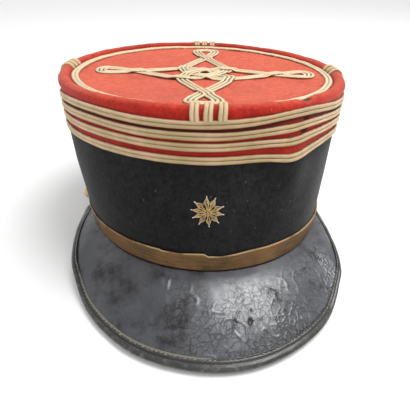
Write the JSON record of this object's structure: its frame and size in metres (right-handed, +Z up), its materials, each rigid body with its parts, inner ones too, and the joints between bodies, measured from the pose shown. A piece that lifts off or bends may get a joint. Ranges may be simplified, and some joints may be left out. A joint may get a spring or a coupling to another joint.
{
  "type": "kepi cap",
  "caption": "Stiff cloth kepi with metal-lace galons and knot, a sunken round top, a bound leather peak and a chin strap on ball buttons.",
  "frame": {"origin": "middle of the cap's outline, at the height of the surface it rests on", "axes": "+Z up, -Y towards the peak, +X towards the wearer's left side"},
  "size_m": [0.198, 0.2784, 0.1208],
  "materials": {
    "black_cloth": "matt milled wool cloth, near black, a little dusty",
    "red_cloth": "matt milled wool cloth, madder red, faded on top",
    "gold_lace": "tarnished gold soutache braid",
    "gold_embroidery": "tarnished gold bullion embroidery",
    "patent_leather": "black patent leather, crazed and scuffed",
    "binding_leather": "black leather binding, stitched, rubbed to grey",
    "brown_leather": "brown leather with a pale worn edge",
    "brass": "dull brass"
  },
  "bodies": {
    "root": {"band": "black_cloth", "red_side": "red_cloth", "top": "red_cloth", "galon_1": "gold_lace", "galon_2": "gold_lace", "galon_3": "gold_lace", "galon_4": "gold_lace", "top_ring": "gold_lace", "riser_front_1": "gold_lace", "riser_front_2": "gold_lace", "riser_front_3": "gold_lace", "riser_right_1": "gold_lace", "riser_right_2": "gold_lace", "riser_right_3": "gold_lace", "riser_back_1": "gold_lace", "riser_back_2": "gold_lace", "riser_back_3": "gold_lace", "riser_left_1": "gold_lace", "riser_left_2": "gold_lace", "riser_left_3": "gold_lace", "top_knot": "gold_lace", "star": "gold_embroidery", "peak": "patent_leather", "peak_binding": "binding_leather", "chin_strap": "brown_leather", "button_left": "brass", "button_right": "brass"}
  },
  "joints": []
}
